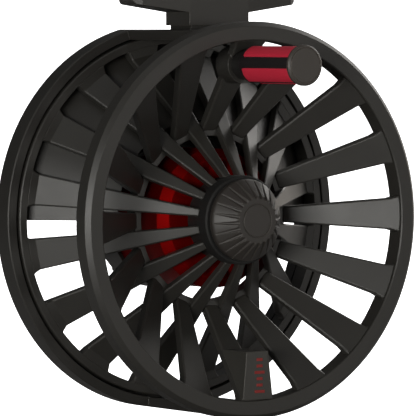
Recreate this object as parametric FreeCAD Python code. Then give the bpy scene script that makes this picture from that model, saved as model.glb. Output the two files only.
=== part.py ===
import FreeCAD, Part
import math
import os

# Large-arbor fly reel: open frame with a rear ring, lattice spool, disc drag, reel foot and crank handle.
# Everything is built about the spindle: X runs along the rod, Y from the handle side to the drag side.
# export() then shifts it, so that the origin is the centre of the foot's top face.
os.makedirs("parts", exist_ok=True)
V = FreeCAD.Vector

# ---- driving sizes, mm ----
FLANGE_R = 59.0            # outer radius of the spool's front flange
FLANGE_T = 6.3             # its thickness along the spindle
FLANGE_RIM = 5.6           # its radial width
SPOOL_DEPTH = 50.1         # front face of the spool to its rear face
SPOKES = 16                # spokes in each flange
SPOKE_TURN = 0.9           # angle of the first front spoke, degrees
SPOKE_T = 3.0              # spoke thickness along the spindle
SPOKE_EDGE = 0.4           # chamfer along both front edges of a spoke
REAR_STEP = 4.2            # rear ring's radius below the front flange's
REAR_RIM = 2.5             # radial width of the spool's rear ring
REAR_RING_T = 5.8          # thickness of the spool's rear ring
RING_PROUD = 0.5           # rear ring's front face in front of the frame ring's
FOOT_RUN = 2.7             # flat foot of a rear spoke at its ring
NEST_GAP = 0.9             # gap all round the rear ring in the frame
FRAME_WALL = 2.9           # radial wall of the frame ring and pillars
FRAME_EDGE = 0.25          # chamfer of the frame ring's front edge
DISH_GAP = 1.0             # rear spokes to the dished half plate behind them
DISH_T = 2.6               # half plate that closes the upper half of the frame's back, along the spindle
PLATE_LOW = 0.4            # its lower edge below the spindle axis
PLATE_T = 3.6              # flat web between the half plate and the drag boss
TOP_WALL = 0.9             # wall left under the frame's flat top
TOP_HALF = 16.3            # half angle of the top pillar, degrees
BOTTOM_HALF = 9.0          # half angle of the bottom pillar, degrees
PAD_H = 1.2                # pad between the frame and the foot's post
PILLAR_GAP = 1.0           # pillar end to front flange
DRUM_BAND = 13.9           # drag housing radius over half the drive hexagon
DRUM_WALL = 2.4            # drag housing wall
DRUM_LENGTH = 26.8         # drag housing along the spindle
BOSS_T = 10.0              # drag boss of the frame along the spindle
SPINDLE_R = 4.0            # fixed spindle
NOSE_R = 3.0               # threaded ends of the spindle
ARBOR_ROOM = 3.8           # room round the drag housing, inside the arbor ring
ARBOR_WALL = 2.2           # ring that ties the two sets of spokes together
ARBOR_T = 4.4
HUB_WALL = 3.7             # spool hub's wall at its front collar
HUB_LENGTH = 11.2
HUB_GAP = 1.3              # spool hub to the drag housing
HUB_MEET = 4.055           # where the rear spokes meet the hub, behind its front face
RUN_GAP = 0.04             # radial clearance of a running fit
FIT_GAP = 0.03             # clearance of a seated fit, and of the joints inside the spool casting
DRIVE_AF = 14.0            # hexagon of the drag rotor, across flats
DRIVE_WALL = 2.6           # hub bore over half the hexagon
DISC_T = 1.2               # every drag disc
DISC_GAP = 0.05            # clearance between drag discs
DISCS = 7
DRAG_TRAVEL = 0.92         # travel of the pressure plate
KNOB_R = 21.0              # drag knob over its lobes
HANDLE_R = 5.85            # handle over its grip strips
HANDLE_IN = 7.2            # handle axis inside the front flange's rim
HANDLE_TIP = -26.8         # front end of the handle
FOOT_LENGTH = 58.0
FOOT_WIDTH = 13.0
FOOT_T = 5.6               # foot thickness over the post
FOOT_TIP_T = 3.2
FOOT_AT = 26.0             # foot centre behind the spool's front face
POST_X = 21.2              # post under the foot, along the rod
POST_H = 3.9               # post height over the pad

# ---- sizes that follow ----
RIM_IN = FLANGE_R - FLANGE_RIM
REAR_R = FLANGE_R - REAR_STEP
REAR_IN = REAR_R - REAR_RIM
FRAME_IN = REAR_R + NEST_GAP
FRAME_R = FRAME_IN + FRAME_WALL
REAR_Y = SPOOL_DEPTH - REAR_RING_T
FRAME_Y = REAR_Y + RING_PROUD
SEAT_Y = SPOOL_DEPTH + NEST_GAP + 0.2
BACK_Y = SEAT_Y + 4.8
BOSS_Y = BACK_Y - BOSS_T
DRUM_Y = BOSS_Y - DRUM_LENGTH
HUB_END = DRUM_Y - HUB_GAP
HUB_Y = HUB_END - HUB_LENGTH
DRUM_R = DRIVE_AF / 2 + DRUM_BAND
DRUM_IN = DRUM_R - DRUM_WALL
ARBOR_R = DRUM_R + ARBOR_ROOM + ARBOR_WALL
HUB_BORE = DRIVE_AF / 2 + DRIVE_WALL
HUB_R = HUB_BORE + HUB_WALL
HANDLE_AT = RIM_IN - HANDLE_IN
TOP_FLAT = FRAME_IN + TOP_WALL
PAD_TOP = TOP_FLAT + PAD_H
POST_TOP = PAD_TOP + POST_H
AXIS_DROP = POST_TOP + FOOT_T
PITCH = 360.0 / SPOKES
HEX_R = DRIVE_AF / math.sqrt(3)
BORE_AF = DRIVE_AF + 0.1


def export(shape, name):
    shape = shape.copy()
    shape.translate(V(0, -FOOT_AT, -AXIS_DROP))
    shape.exportStep("parts/" + name + ".step")


def rod(radius, y0, y1, x=0.0, z=0.0):
    return Part.makeCylinder(radius, y1 - y0, V(x, y0, z), V(0, 1, 0))


def tube(r_out, r_in, y0, y1, x=0.0, z=0.0):
    return rod(r_out, y0, y1, x, z).cut(rod(r_in, y0 - 1, y1 + 1, x, z))


def box(x0, x1, y0, y1, z0, z1):
    return Part.makeBox(x1 - x0, y1 - y0, z1 - z0, V(x0, y0, z0))


def outline_face(corners):
    return Part.Face(Part.makePolygon(corners + corners[:1]))


def turned(points):
    """Solid of revolution about the spindle from (radius, y) points."""
    return outline_face([V(r, y, 0) for r, y in points]).revolve(V(0, 0, 0), V(0, 1, 0), 360)


def prism(points, y0, y1):
    """Prism along the spindle from (x, z) points."""
    return outline_face([V(x, y0, z) for x, z in points]).extrude(V(0, y1 - y0, 0))


def polar(shape, degrees):
    """Copy turned about the spindle, from +X towards +Z."""
    copy = shape.copy()
    copy.rotate(V(0, 0, 0), V(0, 1, 0), -degrees)
    return copy


def around(shape, count, start=0.0):
    return [polar(shape, start + k * 360.0 / count) for k in range(count)]


def hexagon(across_flats, y0, y1):
    r = across_flats / math.sqrt(3)
    points = [(r * math.cos(math.radians(60 * k)), r * math.sin(math.radians(60 * k))) for k in range(6)]
    return prism(points, y0, y1)


def sector(r_out, r_in, y0, y1, half, middle):
    """Arc-shaped block of a ring, centred on an angle."""
    block = tube(r_out, r_in, y0, y1)
    reach = 3 * r_out
    c, s = math.cos(math.radians(half)), math.sin(math.radians(half))
    wedge = prism([(0, 0), (reach * c, -reach * s), (reach * c, reach * s)], y0 - 1, y1 + 1)
    return block.common(polar(wedge, middle))


def spoke(plan, front, depth):
    """Flat tapering spoke along +X, its two long front edges chamfered.

    plan is (radius, half width) points, and front(radius) is the y of its front face.
    """
    sections = []
    for step, trim in ((0, SPOKE_EDGE), (SPOKE_EDGE, 0), (depth, 0)):
        side = [V(r, front(r) + step, w - trim) for r, w in plan]
        side += [V(r, front(r) + step, trim - w) for r, w in reversed(plan)]
        sections.append(Part.makePolygon(side + side[:1]))
    return Part.makeLoft(sections, True, True)


# ---- spool: a front and a rear ring of spokes that interlace at the arbor and run on to the hub ----
# It is one casting. Its rings, spokes, arbor and hub are separate nodes, so that each spoke is its own solid.
meet_y = HUB_Y + HUB_MEET
rear_foot = REAR_IN - FOOT_RUN
rear_slope = (REAR_Y - meet_y) / (rear_foot - HUB_R)
cross_r = ARBOR_R + 0.3
cross_y = meet_y + (cross_r - HUB_R) * rear_slope
rim_sink = 0.5
rim_y = 0.35
front_slope = (cross_y - rim_y) / (RIM_IN + rim_sink - cross_r)


def front_y(r):
    return cross_y - (r - cross_r) * front_slope


def rear_y(r):
    return meet_y + (r - HUB_R) * rear_slope


front_ring = turned([(RIM_IN, 0.3), (RIM_IN + 0.3, 0), (FLANGE_R - 1.4, 0), (FLANGE_R, 1.3),
                     (FLANGE_R, FLANGE_T - 0.4), (FLANGE_R - 0.4, FLANGE_T), (RIM_IN + 0.3, FLANGE_T),
                     (RIM_IN, FLANGE_T - 0.3)])
rear_ring = turned([(REAR_IN, REAR_Y), (REAR_R - 0.3, REAR_Y), (REAR_R, REAR_Y + 0.3),
                    (REAR_R, SPOOL_DEPTH - 0.4), (REAR_R - 0.4, SPOOL_DEPTH), (REAR_IN, SPOOL_DEPTH)])
arbor_y = cross_y + 0.8
arbor_end = arbor_y + ARBOR_T
arbor_ring = tube(ARBOR_R, ARBOR_R - ARBOR_WALL, arbor_y, arbor_end)
arbor_room = tube(ARBOR_R + FIT_GAP, ARBOR_R - ARBOR_WALL - FIT_GAP, arbor_y - FIT_GAP, arbor_end + FIT_GAP)
hub_step = 0.9
hub_side = [(HUB_R - 0.4, HUB_Y), (HUB_R, HUB_Y + 0.4), (HUB_R, HUB_Y + 4.9),
            (HUB_R - hub_step, HUB_Y + 5.9), (HUB_R - hub_step, HUB_END)]
lip_r = SPINDLE_R + 0.8
lip_end = HUB_Y + 1.7
hub = turned([(lip_r, HUB_Y)] + hub_side + [(HUB_BORE, HUB_END), (HUB_BORE, lip_end), (lip_r, lip_end)])
hub_room = turned([(0, HUB_Y)] + [(r + FIT_GAP, y) for r, y in hub_side] + [(0, HUB_END)])

flare_w = 4.75
front_plan = [(RIM_IN + rim_sink, 6.5), (RIM_IN - 0.5, 5.4), (RIM_IN - 2.3, flare_w), (cross_r, 2.45),
              (ARBOR_R - 1.9, 2.4)]
front_spoke = spoke(front_plan, front_y, SPOKE_T).common(rod(RIM_IN - FIT_GAP, -5, BACK_Y)).cut(arbor_room)

rear_plan = [(rear_foot, flare_w), (cross_r + 0.8, 2.55), (HUB_R - 0.1, 1.2), (HUB_R - 2.1, 1.15)]
foot_plan = [(REAR_IN + rim_sink, 6.6), (REAR_IN - 0.8, 5.4), (rear_foot, flare_w)]
rear_spoke = spoke(rear_plan, rear_y, SPOKE_T).fuse(spoke(foot_plan, lambda r: REAR_Y, SPOKE_T))
rear_spoke = rear_spoke.common(rod(REAR_IN - FIT_GAP, -5, BACK_Y))
rear_spoke = rear_spoke.cut(arbor_room).cut(hub_room)
export(front_ring, "spool_front_ring")
export(rear_ring, "spool_rear_ring")
export(arbor_ring, "spool_arbor")
export(hub, "spool_hub")
export(Part.makeCompound(around(rear_spoke, SPOKES, SPOKE_TURN + PITCH / 2)), "spool_rear_spokes")

# The spoke at the top carries the crank handle, the one at the bottom its counterweight.
handle_angle = SPOKE_TURN + 90.0
weight_angle = SPOKE_TURN + 270.0
hx = HANDLE_AT * math.cos(math.radians(handle_angle))
hz = HANDLE_AT * math.sin(math.radians(handle_angle))
boss_y = front_y(HANDLE_AT) - 1.6
boss_end = boss_y + 6.6
rivet_r = 2.0
front_spokes = around(front_spoke, SPOKES, SPOKE_TURN)
handle_spoke = SPOKES // 4
boss = rod(5.6, boss_y, boss_end, hx, hz)
holed = front_spokes[handle_spoke].fuse(boss).cut(rod(4.8, boss_y - 9, boss_y, hx, hz))
front_spokes[handle_spoke] = holed.cut(rod(rivet_r, boss_y - 5, boss_end + 2.4, hx, hz))

# ---- counterweight: wedge-shaped block on the bottom spoke, held by two screws from behind ----
weight_in = RIM_IN - 14.6
weight_out = RIM_IN - 0.3
weight_y = 0.1
weight = prism([(weight_in, -3.8), (weight_out, -5.3), (weight_out, 5.3), (weight_in, 3.8)],
               weight_y, weight_y + 12.5)
weight = weight.common(rod(RIM_IN - 0.1, 0, BACK_Y))
weight = weight.cut(spoke([(weight_out + 3, 9), (weight_in - 3, 9)], lambda r: front_y(r) - 0.06, 40))
spoke_tilt = math.degrees(math.atan(front_slope))
spoke_back = SPOKE_T * math.cos(math.radians(spoke_tilt)) + 0.02


def square_to_spoke(shape, r):
    """Turns a shape made about the Y axis, so that it stands square on the front face of a front spoke."""
    shape.rotate(V(0, 0, 0), V(0, 0, 1), -spoke_tilt)
    shape.translate(V(r, front_y(r), 0))
    return shape


weight_spoke = 3 * SPOKES // 4
screws = []
thread_r = 1.05
hole_r = thread_r + 0.05
thread_run = 3.2
head_end = spoke_back + 1.2
for spot in (weight_in + 4.4, weight_out - 4.8):
    weight = weight.cut(square_to_spoke(rod(hole_r, -thread_run - 0.2, 2.0), spot))
    hole = square_to_spoke(rod(hole_r, -1.0, SPOKE_T + 1.0), spot)
    front_spokes[weight_spoke] = front_spokes[weight_spoke].cut(polar(hole, weight_angle))
    slot = box(-0.3, 0.3, head_end - 0.6, head_end + 1, -3, 3)
    head = rod(1.95, spoke_back, head_end).cut(slot)
    screws.append(square_to_spoke(head.fuse(rod(thread_r, -thread_run, spoke_back + 0.1)), spot))
export(Part.makeCompound(front_spokes), "spool_front_spokes")
export(polar(weight, weight_angle), "counterweight")
export(polar(Part.makeCompound(screws), weight_angle), "counterweight_screws")

# ---- frame: rear ring, two pillars, a dished half plate across the back and the drag boss, one casting ----
seat_in = REAR_IN + 0.3
ring = turned([(FRAME_IN, FRAME_Y), (FRAME_R - FRAME_EDGE, FRAME_Y), (FRAME_R, FRAME_Y + FRAME_EDGE),
               (FRAME_R, BACK_Y - 4.7), (FRAME_R - 3.6, BACK_Y), (seat_in, BACK_Y), (seat_in, SEAT_Y),
               (FRAME_IN, SEAT_Y)])
pillar_y = FLANGE_T + PILLAR_GAP
pillars = []
for middle, half_angle in ((90.0, TOP_HALF), (270.0, BOTTOM_HALF)):
    pillars.append(sector(FRAME_R, FRAME_IN, pillar_y, FRAME_Y + 2, half_angle, middle))
boss_r = DRUM_R + 1.2
spigot_r = DRUM_IN - FIT_GAP
spigot_y = BOSS_Y - 4.0
drag_boss = turned([(SPINDLE_R + FIT_GAP, spigot_y), (spigot_r, spigot_y),
                    (spigot_r, BOSS_Y), (boss_r, BOSS_Y), (boss_r, BACK_Y - 0.8),
                    (boss_r - 0.8, BACK_Y), (SPINDLE_R + FIT_GAP, BACK_Y)])
dish_in = ARBOR_R + 2.6
dish_out = REAR_IN + 1.0
dish_wall = 2.0
rib_t = 2.4


def dish_y(r):
    return rear_y(r) + SPOKE_T + DISH_GAP


dish = turned([(dish_out, dish_y(dish_out)), (dish_in, dish_y(dish_in)), (dish_in, BACK_Y),
               (dish_in + dish_wall, BACK_Y), (dish_in + dish_wall, dish_y(dish_in + dish_wall) + DISH_T),
               (dish_out, dish_y(dish_out) + DISH_T)])
web = tube(dish_in + 1.0, DRUM_R - 2.0, BACK_Y - PLATE_T, BACK_Y)
rib_side = [(r, dish_y(r) + 1.0) for r in (dish_in + 1.0, dish_out - 1.0)]
rib_side += [(dish_out - 1.0, BACK_Y - 1.0), (dish_in + 1.0, BACK_Y - 1.0)]
rib = outline_face([V(r, y, -rib_t / 2) for r, y in rib_side]).extrude(V(0, 0, rib_t))
ribs = [polar(rib, angle) for angle in (22.5, 56.0, 90.0, 124.0, 157.5)]
plate = dish.multiFuse([web] + ribs)
plate = plate.common(box(-FRAME_R, FRAME_R, 0, BACK_Y + 1, -PLATE_LOW, FRAME_R))
frame = ring.multiFuse(pillars + [drag_boss, plate])
frame = frame.cut(box(-FRAME_R, FRAME_R, 0, BACK_Y + 1, TOP_FLAT, FRAME_R + 1))
wide = FOOT_WIDTH / 2
pad_in = 1.0
pad = box(pad_in - POST_X / 2, POST_X / 2 - pad_in, FOOT_AT + pad_in - wide, FOOT_AT - pad_in + wide,
          TOP_FLAT - 0.8, PAD_TOP)
frame = frame.fuse(pad)
pin_ring = 12.0
pin_r = 1.25
for k in range(3):
    frame = frame.cut(polar(rod(pin_r + 0.05, spigot_y - 1, BACK_Y + 1, pin_ring), 30 + 120 * k))
detent_at = 16.6
ball_r = 1.05
frame = frame.cut(polar(rod(ball_r + 0.05, BACK_Y - 4.4, BACK_Y + 1, detent_at), 90))
screw_y = [FOOT_AT - 3.6, FOOT_AT + 3.6]
for y in screw_y:
    frame = frame.cut(Part.makeCylinder(1.6, 20, V(0, y, FRAME_IN - 5), V(0, 0, 1)))
    frame = frame.cut(Part.makeCone(2.8, 1.6, 1.3, V(0, y, FRAME_IN + 0.02), V(0, 0, 1)))
export(frame, "frame")

# ---- reel foot: post and tapering blade with shallow saddles either side of a flat land ----
half = FOOT_LENGTH / 2
top = AXIS_DROP
tip_low = top - FOOT_TIP_T
blade_side = [(-half, top), (half, top), (half, tip_low + 1.0), (half - 1.0, tip_low), (POST_X / 2, POST_TOP),
              (-POST_X / 2, POST_TOP), (-half + 1.0, tip_low), (-half, tip_low + 1.0)]
blade = prism(blade_side, FOOT_AT - FOOT_WIDTH, FOOT_AT + FOOT_WIDTH)
outline = [(-half, -wide + 2.6), (-half + 2.4, -wide + 1.0), (-POST_X / 2, -wide), (POST_X / 2, -wide),
           (half - 2.4, -wide + 1.0), (half, -wide + 2.6), (half, wide - 2.6), (half - 2.4, wide - 1.0),
           (POST_X / 2, wide), (-POST_X / 2, wide), (-half + 2.4, wide - 1.0), (-half, wide - 2.6)]
plan = outline_face([V(x, FOOT_AT + y, POST_TOP - 1) for x, y in outline])
blade = blade.common(plan.extrude(V(0, 0, FOOT_T + 2)))
foot = blade.fuse(box(-POST_X / 2, POST_X / 2, FOOT_AT - wide, FOOT_AT + wide, PAD_TOP, POST_TOP))
seat_r = 13.0
for x0, x1 in ((-half + 3.5, -5.0), (5.0, half - 3.5)):
    saddle = Part.makeCylinder(seat_r, x1 - x0, V(x0, FOOT_AT, top + seat_r - 0.8), V(1, 0, 0))
    foot = foot.cut(saddle)
for y in screw_y:
    foot = foot.cut(Part.makeCylinder(1.5, 9.0, V(0, y, FRAME_IN - 1), V(0, 0, 1)))
export(foot, "reel_foot")
foot_screws = []
for y in screw_y:
    shank = Part.makeCylinder(1.45, 7.4, V(0, y, FRAME_IN + 0.3), V(0, 0, 1))
    head = Part.makeCone(2.6, 1.45, 1.2, V(0, y, FRAME_IN + 0.15), V(0, 0, 1))
    slot = box(-0.3, 0.3, y - 4, y + 4, FRAME_IN - 1, FRAME_IN + 0.7)
    foot_screws.append(shank.fuse(head).cut(slot))
export(Part.makeCompound(foot_screws), "foot_screws")

# ---- spindle: fixed in the drag boss, with a flange in front and a thread at each end ----
knob_y = BACK_Y + 0.5
knob_back = knob_y + 10.2
nose_y = HUB_Y - 5.5
nose_end = HUB_Y + 1.3
collar_r = SPINDLE_R + 3.0
thread_y = knob_y + 4.2
spindle = turned([(0, nose_y), (NOSE_R - 0.5, nose_y), (NOSE_R, nose_y + 0.6), (NOSE_R, nose_end),
                  (SPINDLE_R, nose_end), (SPINDLE_R, spigot_y - 2), (collar_r, spigot_y - 2),
                  (collar_r, spigot_y), (SPINDLE_R, spigot_y), (SPINDLE_R, thread_y), (NOSE_R, thread_y),
                  (NOSE_R, knob_back + 2.0), (0, knob_back + 2.0)])
export(spindle, "spindle")

# ---- drag housing: red cup on the boss, with a lip seal round the rotor ----
front_wall = 2.2
hex_y = DRUM_Y + front_wall
seal_r = HEX_R + 2.0
housing = turned([(seal_r, DRUM_Y), (DRUM_R - 2.7, DRUM_Y), (DRUM_R, DRUM_Y + 2.6), (DRUM_R, BOSS_Y),
                  (DRUM_IN, BOSS_Y), (DRUM_IN, hex_y), (seal_r, hex_y)])
export(housing, "drag_housing")
export(tube(seal_r - FIT_GAP, HEX_R + RUN_GAP + 0.02, DRUM_Y + 0.2, hex_y - 0.2), "housing_seal")

# ---- drag rotor: hexagon that drives the spool hub in front and the moving discs behind ----
disc_y = hex_y + 2.9
plate_y = disc_y + DISCS * (DISC_T + DISC_GAP) - DISC_GAP + DRAG_TRAVEL + 0.1
plate_end = plate_y + 1.9
rotor_end = plate_end + 0.08
shoulder_y = DRUM_Y - 1.0
clutch_r = SPINDLE_R + 2.0
clutch_y, clutch_end = hex_y + 1.6, rotor_end - 3.0
rotor = hexagon(DRIVE_AF, HUB_END - 2.9, shoulder_y)
rotor = rotor.fuse(rod(HEX_R, shoulder_y, hex_y)).fuse(hexagon(DRIVE_AF, hex_y, rotor_end))
rotor = rotor.cut(rod(SPINDLE_R + RUN_GAP, 0, BACK_Y)).cut(rod(clutch_r, clutch_y, clutch_end))
export(rotor, "drag_rotor")
export(tube(clutch_r - FIT_GAP, SPINDLE_R + RUN_GAP, clutch_y + 0.02, clutch_end - 0.02), "roller_clutch")

moving, fixed = [], []
for k in range(DISCS):
    y = disc_y + k * (DISC_T + DISC_GAP)
    if k % 2:
        moving.append(rod(DRUM_IN - 1.1, y, y + DISC_T).cut(hexagon(BORE_AF, 0, BACK_Y)))
    else:
        fixed.append(tube(DRUM_IN - FIT_GAP, HEX_R + 0.5, y, y + DISC_T))
export(Part.makeCompound(moving), "rotor_discs")
export(Part.makeCompound(fixed), "friction_discs")

# ---- click: toothed ring on the rotor and a sprung pawl on a pin in the housing ----
teeth = 24
tip_r = DRIVE_AF / 2 + 4.9
root_r = tip_r - 0.8
outline = []
for k in range(teeth):
    for step, r in ((0.0, root_r), (0.5, tip_r)):
        angle = math.radians((k + step) * 360.0 / teeth)
        outline.append((r * math.cos(angle), r * math.sin(angle)))
click_y = hex_y + 0.5
click_end = click_y + 1.8
click_ring = prism(outline, click_y, click_end).cut(hexagon(BORE_AF, 0, BACK_Y))
export(click_ring, "click_ring")
pawl_y0, pawl_y1 = click_y + 0.1, click_end - 0.1
pawl_x = tip_r + 0.1
pivot_x = pawl_x + 1.2
pivot_z = 9.6
pawl_pin_r = 1.0
pawl = prism([(pawl_x, 0.0), (pawl_x + 0.7, -1.2), (pawl_x + 2.0, -0.9), (pawl_x + 2.8, 9.0),
              (pawl_x - 0.1, 9.2), (pawl_x + 0.65, 1.2)], pawl_y0, pawl_y1)
pawl = pawl.fuse(rod(1.8, pawl_y0, pawl_y1, pivot_x, pivot_z))
pawl = pawl.cut(rod(pawl_pin_r + RUN_GAP, 0, BACK_Y, pivot_x, pivot_z))
export(pawl, "click_pawl")
export(rod(pawl_pin_r, hex_y, click_end + 0.5, pivot_x, pivot_z), "pawl_pin")
spring_y0, spring_y1 = pawl_y1 + 0.05, click_end + 0.45
export(tube(1.7, pawl_pin_r + FIT_GAP, spring_y0, spring_y1, pivot_x, pivot_z), "pawl_spring")

# ---- drag pressure: plate, disc springs, three push pins and the push plate inside the knob ----
export(tube(DRUM_IN - 0.1, HEX_R + 0.5, plate_y, plate_end), "pressure_plate")
cup_in = DRIVE_AF / 2 + 2.2
cup_out = cup_in + 4.4
cup = [(cup_in, 0.0), (cup_out, 0.6), (cup_out, 1.1), (cup_in, 0.5)]
dish = [(cup_in, 1.6), (cup_out, 1.1), (cup_out, 1.6), (cup_in, 2.1)]
springs = [turned([(r, plate_end + y) for r, y in cup]), turned([(r, plate_end + y) for r, y in dish])]
export(springs[0].fuse(springs[1]), "disc_springs")
push_y = knob_y + 0.9
spring_end = plate_end + 1.6
pins = [polar(rod(pin_r, spring_end + 0.55, push_y, pin_ring), 30 + 120 * k) for k in range(3)]
export(Part.makeCompound(pins), "push_pins")
export(tube(14.2, SPINDLE_R + RUN_GAP, push_y, push_y + 2.2), "push_plate")

# ---- drag knob: nine grip lobes round a turned body, a red index ring, its nut and detent ----
knob_body = KNOB_R - 2.8
knob_cup = 14.6
nut_recess = 7.4
nut_y = knob_back - 1.4
knob = turned([(NOSE_R + RUN_GAP, knob_y + 4.3), (knob_cup, knob_y + 4.3), (knob_cup, knob_y),
               (knob_body - 0.6, knob_y), (knob_body, knob_y + 0.6), (knob_body, knob_back - 3.0),
               (KNOB_R - 8.0, knob_back), (nut_recess, knob_back), (nut_recess, nut_y),
               (NOSE_R + RUN_GAP, nut_y)])
lobe_r = 5.2
lobe = rod(lobe_r, knob_y + 2.0, knob_back - 3.4, KNOB_R - lobe_r).cut(rod(knob_body - 1.2, 0, knob_back))
knob = knob.multiFuse(around(lobe, 9, 10.0))
index_in, index_out = 9.8, 11.4
index_y = knob_back - 0.5
knob = knob.cut(tube(index_out, index_in, index_y, knob_back + 1))
export(knob, "drag_knob")
export(tube(index_out - 0.05, index_in + 0.05, index_y, knob_back + 0.1), "index_ring")
nut = hexagon(9.0, nut_y + 0.05, knob_back + 1.6).cut(rod(NOSE_R + FIT_GAP, nut_y, knob_back + 3))
export(nut, "knob_nut")
ball = Part.makeSphere(ball_r, V(detent_at, BACK_Y - 0.65, 0))
export(polar(ball, 90), "detent_ball")
coil_turns = []
for k in range(4):
    coil_turns.append(Part.makeTorus(0.7, 0.24, V(detent_at, BACK_Y - 4.1 + 0.7 * k, 0), V(0, 1, 0)))
export(polar(Part.makeCompound(coil_turns), 90), "detent_spring")

# ---- spool bearing and drive socket in the hub ----
race_y0, race_y1 = HUB_Y + 1.9, HUB_Y + 7.5
sleeve_r = SPINDLE_R + 1.2
outer_race = HUB_BORE - 2.2
export(tube(sleeve_r, SPINDLE_R + RUN_GAP, race_y0, race_y1), "bearing_sleeve")
export(tube(HUB_BORE - FIT_GAP, outer_race, race_y0 - 0.18, race_y1), "bearing_ring")
ball_at = (sleeve_r + outer_race) / 2
ball = Part.makeSphere(ball_at - sleeve_r - RUN_GAP, V(ball_at, (race_y0 + race_y1) / 2, 0))
balls = Part.makeCompound(around(ball, 9))
export(balls, "bearing_balls")
socket = rod(HUB_BORE - FIT_GAP, race_y1 + 0.3, HUB_END).cut(hexagon(BORE_AF, 0, BACK_Y))
export(socket, "drive_socket")

# ---- release cap: grooved cone, threaded on the spindle's nose, with a washer and seal behind it ----
cap_y = HUB_Y - 7.5
cap_rim = HUB_R - 1.1
seal_out = cap_rim - 3.6
seal_y = HUB_Y - 1.8
cap_end = HUB_Y - 0.4
cap_face = 6.9
cap = turned([(0, cap_y), (cap_face, cap_y), (cap_face + 0.5, cap_y + 0.3), (cap_rim - 0.3, cap_y + 5.2),
              (cap_rim, cap_y + 5.7), (cap_rim, cap_end), (seal_out, cap_end), (seal_out, seal_y),
              (NOSE_R + RUN_GAP, seal_y), (NOSE_R + RUN_GAP, cap_y + 1.7), (0, cap_y + 1.7)])
groove_top = V(cap_rim, cap_y + 5.4, 0)
groove_foot = V(cap_face, cap_y - 0.3, 0)
groove_run = groove_foot - groove_top
groove = Part.makeCone(0.2, 0.62, groove_run.Length, groove_top, groove_run)
cap = cap.cut(Part.makeCompound(around(groove, 24, 4.0)))
cap = cap.cut(tube(5.1, 4.7, cap_y - 1, cap_y + 0.25))
export(cap, "release_cap")
seal_in = seal_out - 1.5
export(tube(seal_in - 0.1, NOSE_R + 1.2, seal_y + 0.05, HUB_Y), "cap_washer")
export(tube(seal_out - 0.1, seal_in, seal_y + 0.05, HUB_Y - 0.05), "cap_seal")

# ---- crank handle: fixed post, free-turning barrel with four grip strips and an end cap ----
base_y = boss_y - 0.02
cap_t = 1.3
barrel_y0 = HANDLE_TIP + cap_t
barrel_y1 = base_y - 5.2
strip_end = barrel_y1 - 1.6
pin_out = HANDLE_R - 3.2
post = rod(pin_out, barrel_y0 + 1.4, base_y, hx, hz)
post = post.fuse(rod(rivet_r - FIT_GAP, base_y, boss_end - 0.2, hx, hz))
post = post.fuse(rod(pin_out + 1.0, barrel_y0 + 0.8, barrel_y0 + 2.0, hx, hz))
export(post, "handle_post")
export(tube(4.5, pin_out + FIT_GAP, barrel_y1 + 0.15, base_y, hx, hz), "handle_collar")
grip_r = HANDLE_R - 0.5
bush_r = pin_out + 1.4
barrel = tube(grip_r - FIT_GAP, bush_r, barrel_y0 + 0.03, barrel_y1, hx, hz)
strips = []
for middle in (37.0, 127.0, 217.0, 307.0):
    strip = sector(HANDLE_R, grip_r, barrel_y0 + 0.1, strip_end, 27.0, middle)
    strip.translate(V(hx, 0, hz))
    strips.append(strip)
export(barrel, "handle_barrel")
export(Part.makeCompound(strips), "handle_grips")
bushes = []
for y in (barrel_y0 + 2.2, barrel_y1 - 5.0):
    bushes.append(tube(bush_r - FIT_GAP, pin_out + RUN_GAP, y, y + 5.0, hx, hz))
export(Part.makeCompound(bushes), "handle_bushes")
end_r = HANDLE_R + 0.15
plug_r = bush_r - FIT_GAP
end = turned([(0, HANDLE_TIP), (end_r - 0.55, HANDLE_TIP), (end_r, HANDLE_TIP + 0.45), (end_r, barrel_y0),
              (plug_r, barrel_y0), (plug_r, barrel_y0 + 0.5), (0, barrel_y0 + 0.5)])
end = end.cut(tube(end_r - 0.75, end_r - 0.95, HANDLE_TIP - 1, HANDLE_TIP + 0.2))
end.translate(V(hx, 0, hz))
export(end, "handle_endcap")
print("spindle axis z", -AXIS_DROP, "front face y", -FOOT_AT)
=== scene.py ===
from math import cos, pi, radians, sin

import bmesh
import bpy
from mathutils import Matrix, Vector


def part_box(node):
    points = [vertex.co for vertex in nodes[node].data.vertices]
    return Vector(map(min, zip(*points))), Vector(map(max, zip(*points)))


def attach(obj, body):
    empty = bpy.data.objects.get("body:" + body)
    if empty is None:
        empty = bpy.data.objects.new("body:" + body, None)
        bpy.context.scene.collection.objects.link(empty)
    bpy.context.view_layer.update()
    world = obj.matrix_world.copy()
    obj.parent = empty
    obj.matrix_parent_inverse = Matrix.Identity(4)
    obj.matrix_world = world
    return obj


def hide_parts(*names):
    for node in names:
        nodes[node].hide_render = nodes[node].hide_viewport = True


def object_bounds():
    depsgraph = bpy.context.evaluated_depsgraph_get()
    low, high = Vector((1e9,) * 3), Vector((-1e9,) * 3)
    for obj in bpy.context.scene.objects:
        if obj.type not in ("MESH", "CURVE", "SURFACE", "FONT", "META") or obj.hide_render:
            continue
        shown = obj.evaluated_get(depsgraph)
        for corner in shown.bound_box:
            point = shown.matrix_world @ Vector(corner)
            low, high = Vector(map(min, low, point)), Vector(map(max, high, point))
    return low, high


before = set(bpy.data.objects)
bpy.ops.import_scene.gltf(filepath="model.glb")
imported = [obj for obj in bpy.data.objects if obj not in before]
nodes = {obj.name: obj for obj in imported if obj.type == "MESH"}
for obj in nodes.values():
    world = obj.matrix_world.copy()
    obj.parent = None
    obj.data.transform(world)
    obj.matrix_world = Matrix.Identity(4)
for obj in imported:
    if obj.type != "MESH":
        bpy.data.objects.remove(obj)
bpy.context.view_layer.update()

# ---- Camera ----
# It stands off the reel's front left at about the height of the spindle, with a long lens. The spindle's
# point in the spool's front face is the origin that the camera and every lamp are placed from.
ring_low, ring_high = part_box("spool_front_ring")
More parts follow.
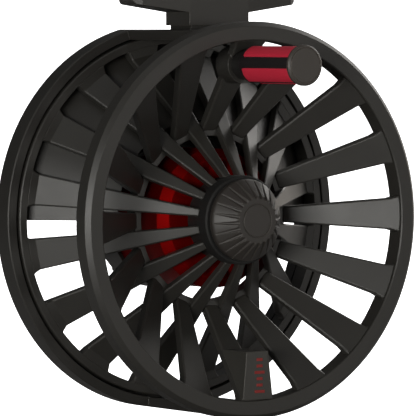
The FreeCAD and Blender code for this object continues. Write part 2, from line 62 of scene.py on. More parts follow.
spindle = Vector(((ring_low.x + ring_high.x) / 2, ring_low.y, (ring_low.z + ring_high.z) / 2))
swing = radians(33.62)
rise = radians(2.32)
camera_distance = 1.332
shift_right = -0.0142
shift_up = 0.0038
towards_camera = Vector((-sin(swing) * cos(rise), -cos(swing) * cos(rise), sin(rise)))
camera_right = Vector((cos(swing), -sin(swing), 0))
camera_up = towards_camera.cross(camera_right)

lens = bpy.data.cameras.new("Camera")
lens.lens = 389.4
lens.sensor_width = 36
lens.clip_end = 60
camera = bpy.data.objects.new("Camera", lens)
bpy.context.scene.collection.objects.link(camera)
camera_place = Matrix((camera_right, camera_up, towards_camera)).transposed().to_4x4()
camera_place.translation = (spindle + camera_distance * towards_camera + shift_right * camera_right
                            + shift_up * camera_up)
camera.matrix_world = camera_place
bpy.context.scene.camera = camera
bpy.context.scene.view_settings.view_transform = "Standard"

# ---- Studio ----
# A white table in a white room. The key lamp stands to the front left at spindle height. Weaker lamps
# stand in front, above, behind, and low on the right, where they reach the inside of the spool.
table_size = 14.0
table_drop = 0.0004
table_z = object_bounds()[0][2] - table_drop
table = bpy.data.meshes.new("studio_table")
table.from_pydata([(-table_size, -table_size, table_z), (table_size, -table_size, table_z),
                   (table_size, table_size, table_z), (-table_size, table_size, table_z)], [], [(0, 1, 2, 3)])
table_object = bpy.data.objects.new("studio_table", table)
bpy.context.scene.collection.objects.link(table_object)

paper = bpy.data.materials.new("studio_paper")
paper.use_nodes = True
paper_tree = paper.node_tree
paper_tree.nodes.clear()
paper_out = paper_tree.nodes.new("ShaderNodeOutputMaterial")
paper_lit = paper_tree.nodes.new("ShaderNodeBsdfPrincipled")
paper_lit.inputs["Base Color"].default_value = (0.5, 0.5, 0.5, 1)
paper_lit.inputs["Roughness"].default_value = 0.9
paper_glow = paper_tree.nodes.new("ShaderNodeEmission")
seen_table_glow = 1.9
paper_glow.inputs["Strength"].default_value = seen_table_glow
paper_sum = paper_tree.nodes.new("ShaderNodeAddShader")
paper_pick = paper_tree.nodes.new("ShaderNodeMixShader")
paper_seen = paper_tree.nodes.new("ShaderNodeLightPath")
paper_tree.links.new(paper_lit.outputs[0], paper_sum.inputs[0])
paper_tree.links.new(paper_glow.outputs[0], paper_sum.inputs[1])
paper_tree.links.new(paper_seen.outputs["Is Camera Ray"], paper_pick.inputs[0])
paper_tree.links.new(paper_lit.outputs[0], paper_pick.inputs[1])
paper_tree.links.new(paper_sum.outputs[0], paper_pick.inputs[2])
paper_tree.links.new(paper_pick.outputs[0], paper_out.inputs["Surface"])
table.materials.append(paper)

room = bpy.data.worlds.new("studio_room")
room.use_nodes = True
room_tree = room.node_tree
room_tree.nodes.clear()
room_out = room_tree.nodes.new("ShaderNodeOutputWorld")
room_seen = room_tree.nodes.new("ShaderNodeLightPath")
room_light = room_tree.nodes.new("ShaderNodeMath")
room_light.operation = "MULTIPLY_ADD"
seen_room_glow = 2.6
room_ambient = 0.08
room_light.inputs[1].default_value = seen_room_glow
room_light.inputs[2].default_value = room_ambient
room_tree.links.new(room_seen.outputs["Is Camera Ray"], room_light.inputs[0])
room_back = room_tree.nodes.new("ShaderNodeBackground")
room_tree.links.new(room_light.outputs[0], room_back.inputs["Strength"])
room_tree.links.new(room_back.outputs[0], room_out.inputs["Surface"])
bpy.context.scene.world = room


def softbox(name, azimuth, elevation, distance, width, height, power, colour=(1, 1, 1)):
    """Rectangular lamp aimed at the spindle. Azimuth 0 is in front of the reel, and grows towards -X."""
    away = Vector((-sin(radians(azimuth)) * cos(radians(elevation)),
                   -cos(radians(azimuth)) * cos(radians(elevation)), sin(radians(elevation))))
    lamp = bpy.data.lights.new(name, "AREA")
    lamp.shape = "RECTANGLE"
    lamp.size = width
    lamp.size_y = height
    lamp.energy = power
    lamp.color = colour
    lamp_object = bpy.data.objects.new(name, lamp)
    lamp_object.location = spindle + distance * away
    lamp_object.rotation_euler = away.to_track_quat("Z", "Y").to_euler()
    bpy.context.scene.collection.objects.link(lamp_object)


softbox("lamp_key", 52, -5, 1.5, 0.65, 0.6, 36, (1.0, 0.99, 0.95))
softbox("lamp_front", -22, 0, 2.0, 1.2, 1.0, 8.5, (1.0, 0.97, 0.92))
softbox("lamp_top", 20, 78, 1.6, 1.2, 1.2, 2)
softbox("lamp_graze", -115, 0, 1.6, 0.9, 0.6, 2.6, (1.0, 0.92, 0.82))
softbox("lamp_rear", 244, 30, 1.7, 1.0, 1.0, 12, (1.0, 0.97, 0.93))

# ---- Spool casting ----
# The spool is one light-alloy casting: two rings of spokes that interlace at the arbor, machined, then
# given a dark satin coat. Its nodes share one finish, save the hub, which is painted darker as painted shade.
# The coat's fine grain and a painted highlight that lightens its colour along sharp edges are node groups,
# because the frame, foot, knob and cap have them too.


def node_group(name, inputs, outputs):
    """Empty shader group with float inputs (name, value) and outputs (name, socket type)."""
    tree = bpy.data.node_groups.new(name, "ShaderNodeTree")
    for label, value in inputs:
        socket = tree.interface.new_socket(label, in_out="INPUT", socket_type="NodeSocketFloat")
        socket.default_value = value
    for label, kind in outputs:
        tree.interface.new_socket(label, in_out="OUTPUT", socket_type=kind)
    return tree, tree.nodes.new("NodeGroupInput"), tree.nodes.new("NodeGroupOutput")


def feed(tree, value, socket):
    """Sets an input socket to a number, or links another socket to it."""
    if isinstance(value, (int, float)):
        socket.default_value = value
    else:
        tree.links.new(value, socket)


def math_node(tree, operation, first, second=None, third=None):
    """Math node whose inputs are sockets or numbers; gives its output socket."""
    node = tree.nodes.new("ShaderNodeMath")
    node.operation = operation
    for slot, value in enumerate((first, second, third)):
        if value is not None:
            feed(tree, value, node.inputs[slot])
    return node.outputs[0]


def noise(tree, vector, scale, detail=2.0):
    """Noise texture on a vector socket; scale is a number or a socket, in features a metre."""
    node = tree.nodes.new("ShaderNodeTexNoise")
    node.inputs["Detail"].default_value = detail
    feed(tree, scale, node.inputs["Scale"])
    tree.links.new(vector, node.inputs["Vector"])
    return node.outputs["Fac"]


coat_grain, grain_in, grain_out = node_group(
    "coat_grain", [("Grain Per Metre", 2600.0), ("Cloud Per Metre", 90.0)],
    [("Height", "NodeSocketFloat"), ("Cloud", "NodeSocketFloat")])
grain_place = coat_grain.nodes.new("ShaderNodeTexCoord").outputs["Object"]
fine = noise(coat_grain, grain_place, grain_in.outputs["Grain Per Metre"], 3.0)
cloud = noise(coat_grain, grain_place, grain_in.outputs["Cloud Per Metre"], 4.0)
coat_grain.links.new(fine, grain_out.inputs["Height"])
coat_grain.links.new(cloud, grain_out.inputs["Cloud"])

# Painted highlight: the Edge output lightens the base colour along sharp edges, where a chamfer would catch
# the lamp. The Bevel normal also rounds the shading there.
sharp_edges, edges_in, edges_out = node_group(
    "sharp_edges", [("Highlight Strength", 0.5), ("Break Up", 0.4)],
    [("Edge", "NodeSocketFloat"), ("Normal", "NodeSocketVector")])
edge_radius = 0.00035
edge_gain = 6.0
patches_per_metre = 700.0
rounded = sharp_edges.nodes.new("ShaderNodeBevel")
rounded.samples = 4
rounded.inputs["Radius"].default_value = edge_radius
flat = sharp_edges.nodes.new("ShaderNodeNewGeometry")
turn = sharp_edges.nodes.new("ShaderNodeVectorMath")
turn.operation = "DOT_PRODUCT"
sharp_edges.links.new(rounded.outputs[0], turn.inputs[0])
sharp_edges.links.new(flat.outputs["Normal"], turn.inputs[1])
apart = math_node(sharp_edges, "SUBTRACT", 1.0, turn.outputs["Value"])
bend = math_node(sharp_edges, "MULTIPLY", apart, edge_gain)
edges_place = sharp_edges.nodes.new("ShaderNodeTexCoord").outputs["Object"]
patchy = noise(sharp_edges, edges_place, patches_per_metre, 3.0)
patch_gain = math_node(sharp_edges, "MULTIPLY_ADD", patchy, edges_in.outputs["Break Up"], 1.0)
edge_brightening = math_node(sharp_edges, "MULTIPLY", bend, patch_gain)
highlight_mask = math_node(sharp_edges, "MULTIPLY", edge_brightening, edges_in.outputs["Highlight Strength"])
clamped = math_node(sharp_edges, "MINIMUM", highlight_mask, 1.0)
sharp_edges.links.new(clamped, edges_out.inputs["Edge"])
sharp_edges.links.new(rounded.outputs[0], edges_out.inputs["Normal"])


def finish_material(name, dark, light, edge, roughness, metallic=0.0, grain=2600.0, bump=0.05, edge_highlight=0.5,
                    spread=0.1, relief=None):
    """Satin finish: its colour drifts from dark to light, and turns to the edge colour along sharp edges, as
    a painted highlight.

    relief(tree) may give a height socket that is added to the grain, for turned or ribbed surfaces.
    """
    material = bpy.data.materials.new(name)
    material.use_nodes = True
    tree = material.node_tree
    shader = tree.nodes["Principled BSDF"]
    shader.inputs["Metallic"].default_value = metallic
    grains = tree.nodes.new("ShaderNodeGroup")
    grains.node_tree = coat_grain
    grains.inputs["Grain Per Metre"].default_value = grain
    edges = tree.nodes.new("ShaderNodeGroup")
    edges.node_tree = sharp_edges
    edges.inputs["Highlight Strength"].default_value = edge_highlight
    drift = tree.nodes.new("ShaderNodeMix")
    drift.data_type = "RGBA"
    drift.inputs[6].default_value = (*dark, 1)
    drift.inputs[7].default_value = (*light, 1)
    tree.links.new(grains.outputs["Cloud"], drift.inputs[0])
    highlight_mix = tree.nodes.new("ShaderNodeMix")
    highlight_mix.data_type = "RGBA"
    highlight_mix.inputs[7].default_value = (*edge, 1)
    tree.links.new(edges.outputs["Edge"], highlight_mix.inputs[0])
    tree.links.new(drift.outputs[2], highlight_mix.inputs[6])
    tree.links.new(highlight_mix.outputs[2], shader.inputs["Base Color"])
    drifted = math_node(tree, "MULTIPLY_ADD", grains.outputs["Cloud"], spread, roughness - spread / 2)
    tree.links.new(math_node(tree, "MULTIPLY_ADD", grains.outputs["Height"], spread, drifted),
                   shader.inputs["Roughness"])
    height = grains.outputs["Height"]
    if relief:
        height = math_node(tree, "ADD", height, relief(tree))
    bumps = tree.nodes.new("ShaderNodeBump")
    bumps.inputs["Strength"].default_value = bump
    bumps.inputs["Distance"].default_value = 0.0002
    tree.links.new(height, bumps.inputs["Height"])
    tree.links.new(edges.outputs["Normal"], bumps.inputs["Normal"])
    tree.links.new(bumps.outputs[0], shader.inputs["Normal"])
    return material


def paint(material, *names):
    """Gives CAD nodes a material in their first slot."""
    for name in names:
        nodes[name].data.materials.clear()
        nodes[name].data.materials.append(material)


coat_dark = (0.020, 0.0185, 0.0160)
coat_light = (0.027, 0.0255, 0.0225)
coat_highlight = (0.060, 0.056, 0.049)
casting = finish_material("satin_coat", coat_dark, coat_light, coat_highlight, 0.40)
# Painted shade: the hub is painted much darker than the rest of the spool casting.
hub_shade = finish_material("hub_shade", (0.0022, 0.0020, 0.0018), (0.0034, 0.0031, 0.0027),
                            (0.018, 0.016, 0.014), 0.66)
paint(casting, "spool_front_ring", "spool_rear_ring", "spool_front_spokes", "spool_rear_spokes",
      "spool_arbor")
paint(hub_shade, "spool_hub")

# ---- Counterweight ----
# A wedge-shaped brass block on the spoke opposite the handle, coated to match but a little lighter. Two
# slotted screws hold it from behind. A short column of red bars on its face is its printed balance scale.
weight_coat = finish_material("weight_coat", (0.030, 0.028, 0.024), (0.038, 0.036, 0.031),
                              (0.10, 0.095, 0.08), 0.42)
mark_red = finish_material("mark_red", (0.20, 0.011, 0.009), (0.25, 0.015, 0.012), (0.40, 0.05, 0.04), 0.5,
                           edge_highlight=0.1)
paint(weight_coat, "counterweight")


def maker_tree(name, inputs):
    """Geometry tree with named inputs (name, kind, value), then its input and output nodes."""
    tree = bpy.data.node_groups.new(name, "GeometryNodeTree")
    tree.interface.new_socket("Geometry", in_out="INPUT", socket_type="NodeSocketGeometry")
    for label, kind, value in inputs:
        socket = tree.interface.new_socket(label, in_out="INPUT", socket_type="NodeSocket" + kind)
        socket.default_value = value
    tree.interface.new_socket("Material", in_out="INPUT", socket_type="NodeSocketMaterial")
    tree.interface.new_socket("Geometry", in_out="OUTPUT", socket_type="NodeSocketGeometry")
    return tree, tree.nodes.new("NodeGroupInput"), tree.nodes.new("NodeGroupOutput")


def end_tree(tree, made, start, end):
    """Realizes what a tree has made and gives it the material input."""
    realize = tree.nodes.new("GeometryNodeRealizeInstances")
    cover = tree.nodes.new("GeometryNodeSetMaterial")
    tree.links.new(made, realize.inputs[0])
    tree.links.new(realize.outputs[0], cover.inputs["Geometry"])
    tree.links.new(start.outputs["Material"], cover.inputs["Material"])
    tree.links.new(cover.outputs[0], end.inputs["Geometry"])


def vector_of(tree, x=0.0, y=0.0, z=0.0):
    """Vector socket from three sockets or numbers."""
    node = tree.nodes.new("ShaderNodeCombineXYZ")
    for slot, value in enumerate((x, y, z)):
        feed(tree, value, node.inputs[slot])
    return node.outputs[0]


def grow(name, tree, material, values, seed_mesh=None, place=None):
    """Plain mesh object that a tree makes from its named input values, moved to its place in the mesh."""
    seed = bpy.data.objects.new(name + "_seed", seed_mesh or bpy.data.meshes.new(name + "_seed"))
    bpy.context.scene.collection.objects.link(seed)
    maker = seed.modifiers.new("maker", "NODES")
    maker.node_group = tree
    sockets = {item.name: item.identifier for item in tree.interface.items_tree if item.in_out == "INPUT"}
    for label, value in values.items():
        maker[sockets[label]] = value
    maker[sockets["Material"]] = material
    made = seed.evaluated_get(bpy.context.evaluated_depsgraph_get())
    mesh = bpy.data.meshes.new_from_object(made)
    seed.modifiers.clear()
    bpy.data.objects.remove(seed)
    if place:
        mesh.transform(place)
    mesh.name = name
    piece = bpy.data.objects.new(name, mesh)
    bpy.context.scene.collection.objects.link(piece)
    return piece


bar_column, bars_in, bars_out = maker_tree("bar_column", [
    ("Bars", "Int", 6), ("Pitch", "Float", 0.0019), ("Width", "Float", 0.0036), ("Height", "Float", 0.0009),
    ("Thickness", "Float", 0.00008), ("Long Every", "Int", 3), ("Short Share", "Float", 0.6)])
bar_points = bar_column.nodes.new("GeometryNodePoints")
bar_column.links.new(bars_in.outputs["Bars"], bar_points.inputs["Count"])
bar_index = bar_column.nodes.new("GeometryNodeInputIndex").outputs[0]
bar_rise = math_node(bar_column, "MULTIPLY", bar_index, bars_in.outputs["Pitch"])
bar_column.links.new(vector_of(bar_column, z=bar_rise), bar_points.inputs["Position"])
bar_shape = bar_column.nodes.new("GeometryNodeMeshCube")
bar_column.links.new(vector_of(bar_column, bars_in.outputs["Width"], bars_in.outputs["Thickness"],
                               bars_in.outputs["Height"]), bar_shape.inputs["Size"])
bar_turn = math_node(bar_column, "MODULO", bar_index, bars_in.outputs["Long Every"])
bar_short = math_node(bar_column, "GREATER_THAN", bar_turn, 0.5)
bar_cut = math_node(bar_column, "SUBTRACT", 1.0, bars_in.outputs["Short Share"])
bar_share = math_node(bar_column, "SUBTRACT", 1.0, math_node(bar_column, "MULTIPLY", bar_short, bar_cut))
bar_copies = bar_column.nodes.new("GeometryNodeInstanceOnPoints")
bar_column.links.new(bar_points.outputs[0], bar_copies.inputs["Points"])
bar_column.links.new(bar_shape.outputs["Mesh"], bar_copies.inputs["Instance"])
bar_column.links.new(vector_of(bar_column, bar_share, 1.0, 1.0), bar_copies.inputs["Scale"])
end_tree(bar_column, bar_copies.outputs[0], bars_in, bars_out)

weight_low, weight_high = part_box("counterweight")
bars = 6
bar_pitch = 0.0019
bars_right = 0.0014
bars_foot = (weight_low.z + weight_high.z) / 2 - bar_pitch * (bars - 1) / 2
balance_marks = grow("balance_marks", bar_column, mark_red, {"Bars": bars, "Pitch": bar_pitch},
                     place=Matrix.Translation((spindle.x + bars_right, weight_low.y, bars_foot)))
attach(balance_marks, "spool")

# ---- Screws, shafts and races ----
# Turned steel, left bright: the spindle, screws, nut, springs, pins and the races of the spool's bearing.
# The tool leaves fine marks that run round each piece, so they follow the distance from its own axis.
lathe_marks, lathe_in, lathe_out = node_group(
    "lathe_marks", [("Axis X", 0.0), ("Axis Z", 0.0), ("Marks Per Metre", 3500.0)],
    [("Height", "NodeSocketFloat")])
lathe_split = lathe_marks.nodes.new("ShaderNodeSeparateXYZ")
lathe_place = lathe_marks.nodes.new("ShaderNodeTexCoord").outputs["Object"]
lathe_marks.links.new(lathe_place, lathe_split.inputs[0])
off_x = math_node(lathe_marks, "SUBTRACT", lathe_split.outputs[0], lathe_in.outputs["Axis X"])
off_z = math_node(lathe_marks, "SUBTRACT", lathe_split.outputs[2], lathe_in.outputs["Axis Z"])
off_axis = math_node(lathe_marks, "SQRT", math_node(lathe_marks, "MULTIPLY_ADD", off_x, off_x,
                                                    math_node(lathe_marks, "MULTIPLY", off_z, off_z)))
path = math_node(lathe_marks, "ADD", off_axis, lathe_split.outputs[1])
wavers_per_metre = 240.0
waver_size = 0.0006
waver = math_node(lathe_marks, "MULTIPLY", noise(lathe_marks, lathe_place, wavers_per_metre), waver_size)
phase = math_node(lathe_marks, "MULTIPLY", math_node(lathe_marks, "ADD", path, waver),
                  lathe_in.outputs["Marks Per Metre"])
wave = math_node(lathe_marks, "SINE", math_node(lathe_marks, "MULTIPLY", phase, 2 * pi))
lathe_marks.links.new(math_node(lathe_marks, "MULTIPLY_ADD", wave, 0.5, 0.5), lathe_out.inputs["Height"])


def turned_about(axis, marks=3500.0):
    """Relief of lathe marks round an axis that runs along Y through a point."""
    def relief(tree):
        group = tree.nodes.new("ShaderNodeGroup")
        group.node_tree = lathe_marks
        group.inputs["Axis X"].default_value = axis.x
        group.inputs["Axis Z"].default_value = axis.z
        group.inputs["Marks Per Metre"].default_value = marks
        return group.outputs["Height"]
    return relief


steel_dark, steel_light, steel_highlight = (0.10, 0.10, 0.095), (0.16, 0.16, 0.15), (0.3, 0.3, 0.29)
screw_steel = finish_material("screw_steel", steel_dark, steel_light, steel_highlight, 0.35, metallic=1.0,
                              grain=5200.0, spread=0.08)
paint(screw_steel, "counterweight_screws", "foot_screws", "pawl_pin", "pawl_spring", "detent_ball",
      "detent_spring", "click_pawl")
turned_steel = finish_material("turned_steel", (0.36, 0.355, 0.34), (0.48, 0.475, 0.46), (0.6, 0.6, 0.58),
                               0.30, metallic=1.0, bump=0.12, spread=0.08, relief=turned_about(spindle))
paint(turned_steel, "spindle", "bearing_ring", "bearing_sleeve", "bearing_balls", "drag_rotor",
      "roller_clutch", "click_ring", "rotor_discs", "pressure_plate", "disc_springs", "push_pins",
      "push_plate", "knob_nut", "cap_washer")
bronze_dark, bronze_light, bronze_highlight = (0.30, 0.19, 0.075), (0.40, 0.27, 0.11), (0.5, 0.36, 0.17)
bronze = finish_material("turned_bronze", bronze_dark, bronze_light, bronze_highlight, 0.34, metallic=1.0,
                         bump=0.1, relief=turned_about(spindle, 2600.0))
paint(bronze, "drive_socket")

# ---- Drag housing ----
# A deep aluminium cup pressed on the frame's boss, turned and anodised dark red. The dye lies in the metal,
# so the colour stays metallic and matt, and the tool marks show through it.
housing_red = finish_material("anodised_red", (0.21, 0.0020, 0.0018), (0.27, 0.0036, 0.0032),
                              (0.34, 0.018, 0.014), 0.62, metallic=1.0, bump=0.10, edge_highlight=0.2,
                              relief=turned_about(spindle, 2200.0))
seal_rubber = finish_material("seal_rubber", (0.010, 0.010, 0.010), (0.016, 0.016, 0.016), (0.02, 0.02, 0.02),
                              0.65, grain=1800.0, edge_highlight=0.0)
paint(housing_red, "drag_housing")
paint(seal_rubber, "housing_seal", "cap_seal")


def woven(tree):
    """Relief of a plain weave across the spindle, from two crossed sets of threads."""
    place = tree.nodes.new("ShaderNodeTexCoord").outputs["Object"]
    split = tree.nodes.new("ShaderNodeSeparateXYZ")
    tree.links.new(place, split.inputs[0])
    threads_per_metre = 900.0
    threads = 2 * pi * threads_per_metre
    across = math_node(tree, "SINE", math_node(tree, "MULTIPLY", split.outputs[0], threads))
    along = math_node(tree, "SINE", math_node(tree, "MULTIPLY", split.outputs[2], threads))
    return math_node(tree, "ABSOLUTE", math_node(tree, "MULTIPLY", across, along))


friction_weave = finish_material("friction_weave", (0.016, 0.016, 0.017), (0.030, 0.030, 0.032),
                                 (0.05, 0.05, 0.05), 0.55, bump=0.5, relief=woven)
paint(friction_weave, "friction_discs")

# ---- Release cap ----
# A turned cone with a flat face, cut with narrow grooves for the fingers, coated a touch browner than the
# spool. It screws on the spindle's nose and holds the spool on, over a washer and a rubber seal.
cap_coat = finish_material("cap_coat", (0.023, 0.019, 0.0165), (0.030, 0.026, 0.0225),
                           (0.075, 0.066, 0.056), 0.42, bump=0.06, relief=turned_about(spindle, 1500.0))
paint(cap_coat, "release_cap")

# ---- Crank handle ----
# A steel post riveted in the top spoke, with a black barrel that turns on two bronze bushes. Four red
# soft-touch strips lie in the barrel, and a bevelled cap closes its end.
barrel_low, barrel_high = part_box("handle_barrel")
grips_low, grips_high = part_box("handle_grips")
handle_axis = (barrel_low + barrel_high) / 2
post_steel = finish_material("post_steel", steel_dark, steel_light, steel_highlight, 0.35, metallic=1.0,
                             relief=turned_about(handle_axis))
barrel_black = finish_material("barrel_black", (0.0085, 0.0062, 0.0068), (0.012, 0.0088, 0.0095),
                               (0.03, 0.025, 0.025), 0.45, grain=3800.0, bump=0.08)
endcap_coat = finish_material("endcap_coat", (0.040, 0.034, 0.029), (0.050, 0.043, 0.037),
                              (0.13, 0.11, 0.095), 0.42, bump=0.05,
                              relief=turned_about(handle_axis, 1500.0))
collar_black = finish_material("collar_black", (0.010, 0.0095, 0.009), (0.014, 0.013, 0.012),
                               (0.04, 0.038, 0.035), 0.40, relief=turned_about(handle_axis, 2500.0))
bush_bronze = finish_material("bush_bronze", bronze_dark, bronze_light, bronze_highlight, 0.34, metallic=1.0,
                              relief=turned_about(handle_axis, 2600.0))
paint(post_steel, "handle_post")
paint(barrel_black, "handle_barrel")
paint(endcap_coat, "handle_endcap")
paint(collar_black, "handle_collar")
paint(bush_bronze, "handle_bushes")

grip_red = finish_material("grip_red", (0.50, 0.018, 0.042), (0.64, 0.026, 0.058), (0.66, 0.06, 0.09), 0.42,
                           grain=3200.0, bump=0.10, edge_highlight=0.15)
grip_out = (grips_high.x - grips_low.x) / 2
grip_height = 0.00055
grip_half_turn = radians(27)
corner_round = 0.0011
grip_sink = 0.995
grip_rows, grip_steps = 28, 16


def grip_strip():
    """One crowned strip along Y about the origin, with rounded corners and sides that run into the barrel."""
    half_length = (grips_high.y - grips_low.y) / 2
    middle_y = (grips_high.y + grips_low.y) / 2
    rows = []
    for row in range(grip_rows + 1):
        along = -cos(pi * row / grip_rows)
        end_gap = half_length * (1 - abs(along))
        pinch = max(0.0, 1 - end_gap / corner_round)
        narrow = corner_round * (1 - (1 - pinch ** 2) ** 0.5)
        half_turn = grip_half_turn - narrow / grip_out
        points = []
        for step in range(grip_steps + 1):
            across = -cos(pi * step / grip_steps)
            side_gap = grip_out * (grip_half_turn - abs(across) * half_turn)
            edge = min(end_gap, side_gap) / (0.5 * corner_round)
            crown = min(1.0, edge + 0.25) ** 0.5
            radius = grip_out - grip_height * (1 - crown)
            turn = across * half_turn
            points.append((radius * cos(turn), middle_y + along * half_length, radius * sin(turn)))
        rows.append(points)
    top = [point for points in rows for point in points]
    sunk = (grip_out - grip_height) / grip_out
    low = [(x * sunk * grip_sink, y, z * sunk * grip_sink) for x, y, z in top]
    wide = grip_steps + 1
    count = len(top)
    faces = []
    for row in range(grip_rows):
        for step in range(grip_steps):
            a = row * wide + step
            faces.append((a, a + 1, a + wide + 1, a + wide))
            faces.append((count + a, count + a + wide, count + a + wide + 1, count + a + 1))
    rim = list(range(wide)) + [row * wide + wide - 1 for row in range(1, grip_rows + 1)]
    rim += [grip_rows * wide + step for step in range(wide - 2, -1, -1)]
    rim += [row * wide for row in range(grip_rows - 1, 0, -1)]
    for one, other in zip(rim, rim[1:] + rim[:1]):
        faces.append((one, count + one, count + other, other))
    mesh = bpy.data.meshes.new("grip_strip")
    mesh.from_pydata(top + low, [], faces)
    shell = bmesh.new()
    shell.from_mesh(mesh)
    bmesh.ops.recalc_face_normals(shell, faces=shell.faces)
    shell.to_mesh(mesh)
    shell.free()
    mesh.shade_smooth()
    return mesh


copies_round, round_in, round_out = maker_tree("copies_round", [
    ("Copies", "Int", 4), ("First Angle", "Float", 0.0)])
round_points = copies_round.nodes.new("GeometryNodePoints")
copies_round.links.new(round_in.outputs["Copies"], round_points.inputs["Count"])
round_index = copies_round.nodes.new("GeometryNodeInputIndex").outputs[0]
round_step = math_node(copies_round, "DIVIDE", 2 * pi, round_in.outputs["Copies"])
round_angle = math_node(copies_round, "MULTIPLY_ADD", round_index, round_step,
                        round_in.outputs["First Angle"])
round_copies = copies_round.nodes.new("GeometryNodeInstanceOnPoints")
copies_round.links.new(round_points.outputs[0], round_copies.inputs["Points"])
copies_round.links.new(round_in.outputs["Geometry"], round_copies.inputs["Instance"])
copies_round.links.new(vector_of(copies_round, y=math_node(copies_round, "MULTIPLY", round_angle, -1.0)),
                       round_copies.inputs["Rotation"])
end_tree(copies_round, round_copies.outputs[0], round_in, round_out)

grip_strips = grow("grip_strips", copies_round, grip_red, {"Copies": 4, "First Angle": radians(37)},
                   seed_mesh=grip_strip(), place=Matrix.Translation((handle_axis.x, 0, handle_axis.z)))
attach(grip_strips, "handle")
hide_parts("handle_grips")

# ---- Frame and reel foot ----
# The frame is a second casting: the rear ring, two pillars, and the dished half plate with the drag boss.
# The foot is a separate forging, held on the top pillar by two screws. Both have the spool's satin coat, but
# the frame's copy is painted darker, as painted shade.
# Painted shade: the frame's coat is darker than the spool's, for the shade it lies in behind the spool.
frame_shaded_coat = finish_material("frame_shaded_coat", (0.016, 0.0147, 0.0128), (0.022, 0.0205, 0.018),
                             (0.060, 0.056, 0.049), 0.42)
foot_coat = finish_material("foot_coat", (0.024, 0.022, 0.0195), (0.031, 0.029, 0.026),
                            (0.10, 0.093, 0.08), 0.42)
paint(frame_shaded_coat, "frame")
paint(foot_coat, "reel_foot")

# ---- Drag knob ----
# A cup-shaped knob with nine grip lobes behind the frame, held by a nut. Fine ribs on the lobes stop wet
# fingers slipping, a red ring marks its face, and ticks on the drag boss show how far it is turned.
knob_low, knob_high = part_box("drag_knob")
frame_low, frame_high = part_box("frame")
knob_coat = finish_material("knob_coat", (0.022, 0.020, 0.0175), (0.029, 0.027, 0.024),
                            (0.10, 0.093, 0.08), 0.40, relief=turned_about(spindle, 1500.0))
tick_white = finish_material("tick_paint", (0.50, 0.49, 0.46), (0.58, 0.57, 0.54), (0.62, 0.61, 0.58), 0.55,
                             edge_highlight=0.1)
paint(knob_coat, "drag_knob")
paint(housing_red, "index_ring")

knob_radius = knob_high.z - spindle.z
knob_lobes = 9
lobe_radius = 0.0052
lobe_length = 0.0048
lobe_back = 0.0020
lobe_middle = knob_low.y + lobe_back + lobe_length / 2
lobe_ribs, ribs_in, ribs_out = maker_tree("lobe_ribs", [
    ("Lobes", "Int", knob_lobes), ("Ribs", "Int", 5), ("Lobe Ring", "Float", 0.0158),
    ("Lobe Radius", "Float", lobe_radius), ("Fan", "Float", radians(96)), ("Rib Radius", "Float", 0.00030),
    ("Rib Length", "Float", 0.0044), ("First Angle", "Float", radians(10))])
rib_total = math_node(lobe_ribs, "MULTIPLY", ribs_in.outputs["Lobes"], ribs_in.outputs["Ribs"])
rib_points = lobe_ribs.nodes.new("GeometryNodePoints")
lobe_ribs.links.new(rib_total, rib_points.inputs["Count"])
rib_index = lobe_ribs.nodes.new("GeometryNodeInputIndex").outputs[0]
rib_lobe = math_node(lobe_ribs, "FLOOR", math_node(lobe_ribs, "DIVIDE", rib_index, ribs_in.outputs["Ribs"]))
rib_at = math_node(lobe_ribs, "MODULO", rib_index, ribs_in.outputs["Ribs"])
lobe_step = math_node(lobe_ribs, "DIVIDE", 2 * pi, ribs_in.outputs["Lobes"])
lobe_angle = math_node(lobe_ribs, "MULTIPLY_ADD", rib_lobe, lobe_step, ribs_in.outputs["First Angle"])
rib_gaps = math_node(lobe_ribs, "SUBTRACT", ribs_in.outputs["Ribs"], 1.0)
rib_share = math_node(lobe_ribs, "SUBTRACT", math_node(lobe_ribs, "DIVIDE", rib_at, rib_gaps), 0.5)
rib_angle = math_node(lobe_ribs, "MULTIPLY_ADD", rib_share, ribs_in.outputs["Fan"], lobe_angle)
lobe_x = math_node(lobe_ribs, "MULTIPLY", math_node(lobe_ribs, "COSINE", lobe_angle),
                   ribs_in.outputs["Lobe Ring"])
lobe_z = math_node(lobe_ribs, "MULTIPLY", math_node(lobe_ribs, "SINE", lobe_angle),
                   ribs_in.outputs["Lobe Ring"])
rib_x = math_node(lobe_ribs, "MULTIPLY_ADD", math_node(lobe_ribs, "COSINE", rib_angle),
                  ribs_in.outputs["Lobe Radius"], lobe_x)
rib_z = math_node(lobe_ribs, "MULTIPLY_ADD", math_node(lobe_ribs, "SINE", rib_angle),
                  ribs_in.outputs["Lobe Radius"], lobe_z)
rib_place = lobe_ribs.nodes.new("GeometryNodeSetPosition")
lobe_ribs.links.new(rib_points.outputs[0], rib_place.inputs["Geometry"])
lobe_ribs.links.new(vector_of(lobe_ribs, rib_x, 0.0, rib_z), rib_place.inputs["Position"])
rib_shape = lobe_ribs.nodes.new("GeometryNodeMeshCylinder")
rib_shape.inputs["Vertices"].default_value = 12
lobe_ribs.links.new(ribs_in.outputs["Rib Radius"], rib_shape.inputs["Radius"])
lobe_ribs.links.new(ribs_in.outputs["Rib Length"], rib_shape.inputs["Depth"])
rib_copies = lobe_ribs.nodes.new("GeometryNodeInstanceOnPoints")
rib_copies.inputs["Rotation"].default_value = (pi / 2, 0, 0)
lobe_ribs.links.new(rib_place.outputs[0], rib_copies.inputs["Points"])
lobe_ribs.links.new(rib_shape.outputs["Mesh"], rib_copies.inputs["Instance"])
end_tree(lobe_ribs, rib_copies.outputs[0], ribs_in, ribs_out)
knob_ribs = grow("knob_ribs", lobe_ribs, knob_coat, {"Lobe Ring": knob_radius - lobe_radius},
                 place=Matrix.Translation((spindle.x, lobe_middle, spindle.z)))
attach(knob_ribs, "knob")

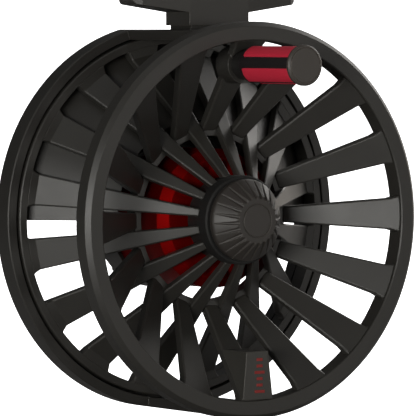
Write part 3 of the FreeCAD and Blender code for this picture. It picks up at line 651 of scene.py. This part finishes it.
tick_ring, ticks_in, ticks_out = maker_tree("tick_ring", [
    ("Ticks", "Int", 31), ("Arc", "Float", radians(300)), ("First Angle", "Float", radians(-60)),
    ("Outer Radius", "Float", 0.0215), ("Length", "Float", 0.0014), ("Long Every", "Int", 5),
    ("Long Share", "Float", 1.6), ("Width", "Float", 0.00028), ("Thickness", "Float", 0.00008)])
tick_points = tick_ring.nodes.new("GeometryNodePoints")
tick_ring.links.new(ticks_in.outputs["Ticks"], tick_points.inputs["Count"])
tick_index = tick_ring.nodes.new("GeometryNodeInputIndex").outputs[0]
tick_gaps = math_node(tick_ring, "SUBTRACT", ticks_in.outputs["Ticks"], 1.0)
tick_step = math_node(tick_ring, "DIVIDE", ticks_in.outputs["Arc"], tick_gaps)
tick_angle = math_node(tick_ring, "MULTIPLY_ADD", tick_index, tick_step, ticks_in.outputs["First Angle"])
tick_rest = math_node(tick_ring, "MODULO", tick_index, ticks_in.outputs["Long Every"])
tick_long = math_node(tick_ring, "LESS_THAN", tick_rest, 0.5)
tick_extra = math_node(tick_ring, "SUBTRACT", ticks_in.outputs["Long Share"], 1.0)
tick_share = math_node(tick_ring, "MULTIPLY_ADD", tick_long, tick_extra, 1.0)
tick_length = math_node(tick_ring, "MULTIPLY", tick_share, ticks_in.outputs["Length"])
tick_middle = math_node(tick_ring, "MULTIPLY_ADD", tick_length, -0.5, ticks_in.outputs["Outer Radius"])
tick_x = math_node(tick_ring, "MULTIPLY", math_node(tick_ring, "COSINE", tick_angle), tick_middle)
tick_z = math_node(tick_ring, "MULTIPLY", math_node(tick_ring, "SINE", tick_angle), tick_middle)
tick_place = tick_ring.nodes.new("GeometryNodeSetPosition")
tick_ring.links.new(tick_points.outputs[0], tick_place.inputs["Geometry"])
tick_ring.links.new(vector_of(tick_ring, tick_x, 0.0, tick_z), tick_place.inputs["Position"])
tick_shape = tick_ring.nodes.new("GeometryNodeMeshCube")
tick_ring.links.new(vector_of(tick_ring, ticks_in.outputs["Length"], ticks_in.outputs["Thickness"],
                              ticks_in.outputs["Width"]), tick_shape.inputs["Size"])
tick_copies = tick_ring.nodes.new("GeometryNodeInstanceOnPoints")
tick_ring.links.new(tick_place.outputs[0], tick_copies.inputs["Points"])
tick_ring.links.new(tick_shape.outputs["Mesh"], tick_copies.inputs["Instance"])
tick_ring.links.new(vector_of(tick_ring, y=math_node(tick_ring, "MULTIPLY", tick_angle, -1.0)),
                    tick_copies.inputs["Rotation"])
tick_ring.links.new(vector_of(tick_ring, tick_share, 1.0, 1.0), tick_copies.inputs["Scale"])
end_tree(tick_ring, tick_copies.outputs[0], ticks_in, ticks_out)
drag_scale = grow("drag_scale", tick_ring, tick_white, {},
                  place=Matrix.Translation((spindle.x, frame_high.y, spindle.z)))
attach(drag_scale, "frame")
